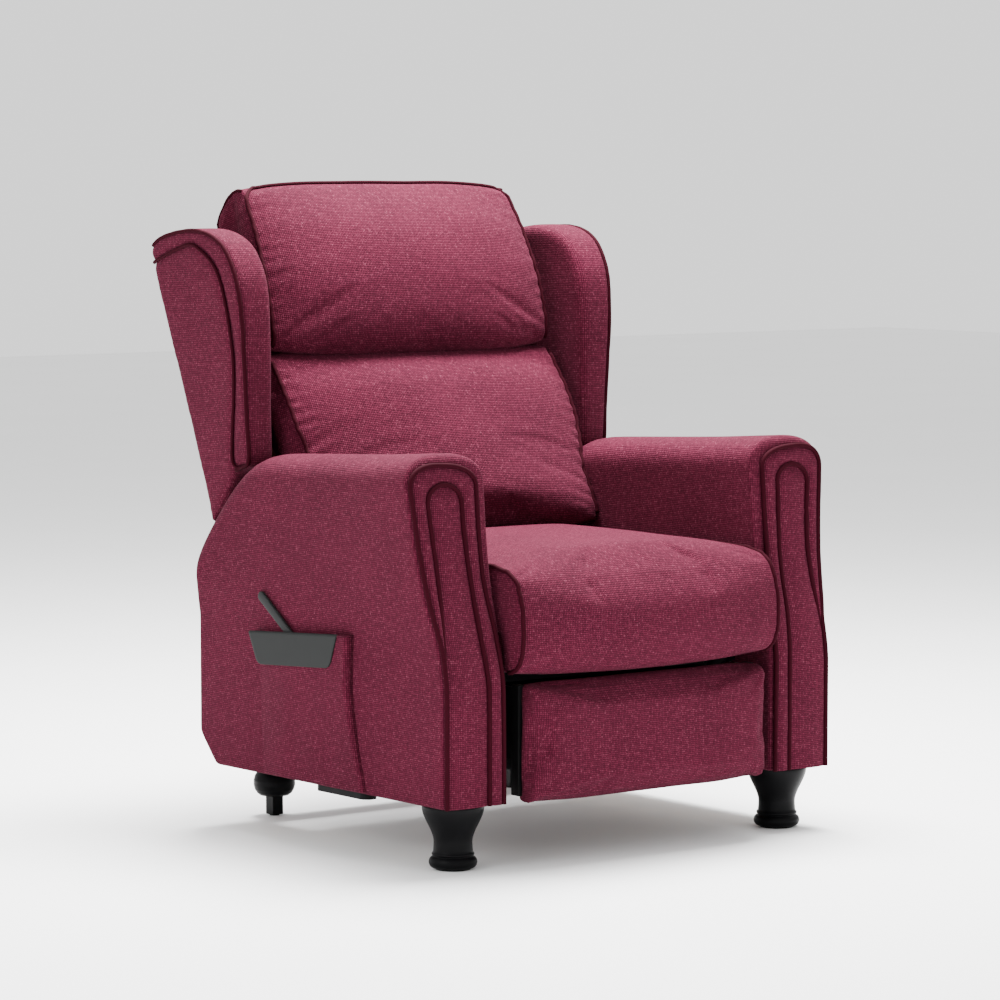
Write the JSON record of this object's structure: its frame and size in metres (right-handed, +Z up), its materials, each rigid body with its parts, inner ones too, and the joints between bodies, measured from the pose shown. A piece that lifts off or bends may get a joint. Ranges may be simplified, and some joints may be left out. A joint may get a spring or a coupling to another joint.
{
  "type": "wing-back recliner",
  "caption": "Upholstered wing-back armchair that reclines: rolled arms, turned front feet, split back cushion, a linked folding footrest and a side pocket with a release lever.",
  "frame": {"origin": "on the floor, at the middle of the chair's width and depth with the footrest closed and the back upright", "axes": "+X to the right as seen from the front, -Y the way the seat faces, +Z up"},
  "size_m": [0.82, 0.8294, 1.0265],
  "materials": {
    "fabric": "coarse woven raspberry melange upholstery cloth",
    "piping": "dark burgundy welt cord",
    "timber": "planed beech and plywood frame",
    "black_wood": "satin black lacquer on turned wood",
    "black_plastic": "black moulded plastic",
    "grey_plastic": "charcoal grained plastic",
    "lever_metal": "black powder coat",
    "webbing": "elastic upholstery webbing",
    "steel": "black painted mechanism steel"
  },
  "bodies": {
    "base": {"left_arm_frame": "timber", "right_arm_frame": "timber", "left_arm_cover": "fabric", "right_arm_cover": "fabric", "left_arm_facing": "fabric", "right_arm_facing": "fabric", "left_arm_piping": "piping", "right_arm_piping": "piping", "side_pocket": "fabric", "lever_guard": "grey_plastic", "lever_bracket": "steel", "left_front_leg": "black_wood", "right_front_leg": "black_wood", "leg_bolts": "steel", "rear_buns": "black_wood", "rear_posts": "black_wood", "foot_glides": "black_plastic", "rear_cross_rail": "timber", "cross_tube": "steel", "left_base_plate": "steel", "right_base_plate": "steel", "base_bolts": "steel", "under_rails": "black_plastic"},
    "seat": {"left_seat_rail": "timber", "right_seat_rail": "timber", "front_seat_rail": "timber", "rear_seat_rail": "timber", "seat_springs": "steel", "seat_cushion": "fabric", "left_seat_plate": "steel", "right_seat_plate": "steel"},
    "back": {"left_back_stile": "timber", "right_back_stile": "timber", "top_back_rail": "timber", "bottom_back_rail": "timber", "back_webbing": "webbing", "outside_back": "fabric", "left_wing": "fabric", "right_wing": "fabric", "lumbar_cushion": "fabric", "head_pillow": "fabric", "left_back_bracket": "steel", "right_back_bracket": "steel"},
    "recline_link": {"recline_links": "steel"},
    "lift": {"left_lift_link": "steel", "right_lift_link": "steel", "drive_tube": "steel"},
    "guide": {"left_guide_link": "steel", "right_guide_link": "steel"},
    "carry": {"left_carry_link": "steel", "right_carry_link": "steel"},
    "tilt": {"left_tilt_link": "steel", "right_tilt_link": "steel"},
    "footrest": {"left_board_bracket": "steel", "right_board_bracket": "steel", "footrest_board": "timber", "footrest_pad": "fabric"},
    "lever": {"recline_lever": "lever_metal", "lever_grip": "black_plastic"}
  },
  "joints": [
    {"name": "back_recline", "type": "hinge", "parent": "base", "child": "back", "pos_m": [0, 0.1163, 0.362], "axis": [-1, 0, 0], "range_deg": [0, 30]},
    {"name": "seat_glide", "type": "slide", "parent": "base", "child": "seat", "axis": [0, -1, 0], "range_m": [0, 0.0421]},
    {"name": "recline_link_swing", "type": "hinge", "parent": "seat", "child": "recline_link", "pos_m": [0, 0.0463, 0.28068], "axis": [1, 0, 0], "range_deg": [0, 4.26]},
    {"name": "footrest_lift", "type": "hinge", "parent": "seat", "child": "lift", "pos_m": [0, -0.2337, 0.264], "axis": [-1, 0, 0], "range_deg": [0, 125]},
    {"name": "guide_swing", "type": "hinge", "parent": "seat", "child": "guide", "pos_m": [0, -0.2867, 0.2787], "axis": [-1, 0, 0], "range_deg": [0, 125.1]},
    {"name": "carry_swing", "type": "hinge", "parent": "lift", "child": "carry", "pos_m": [0, -0.11084, 0.14942], "axis": [1, 0, 0], "range_deg": [0, 125.1]},
    {"name": "tilt_swing", "type": "hinge", "parent": "lift", "child": "tilt", "pos_m": [0, -0.08675, 0.11502], "axis": [1, 0, 0], "range_deg": [0, 123.87]},
    {"name": "footrest_tilt", "type": "hinge", "parent": "carry", "child": "footrest", "pos_m": [0, -0.3277, 0.258], "axis": [-1, 0, 0], "range_deg": [0, 100.1]},
    {"name": "lever_pull", "type": "hinge", "parent": "base", "child": "lever", "pos_m": [-0.3894, -0.0257, 0.306], "axis": [1, 0, 0], "range_deg": [0, 35], "stiffness_Nm_per_rad": 0.8}
  ],
  "couplings": [
    {"joint": "seat_glide", "follows": "back_recline", "m_per_rad": 0.080214},
    {"joint": "recline_link_swing", "follows": "back_recline", "ratio": 0.14048},
    {"joint": "guide_swing", "follows": "footrest_lift", "ratio": 1},
    {"joint": "carry_swing", "follows": "footrest_lift", "ratio": 1},
    {"joint": "tilt_swing", "follows": "footrest_lift", "ratio": 0.99019},
    {"joint": "footrest_tilt", "follows": "footrest_lift", "ratio": 0.8}
  ]
}
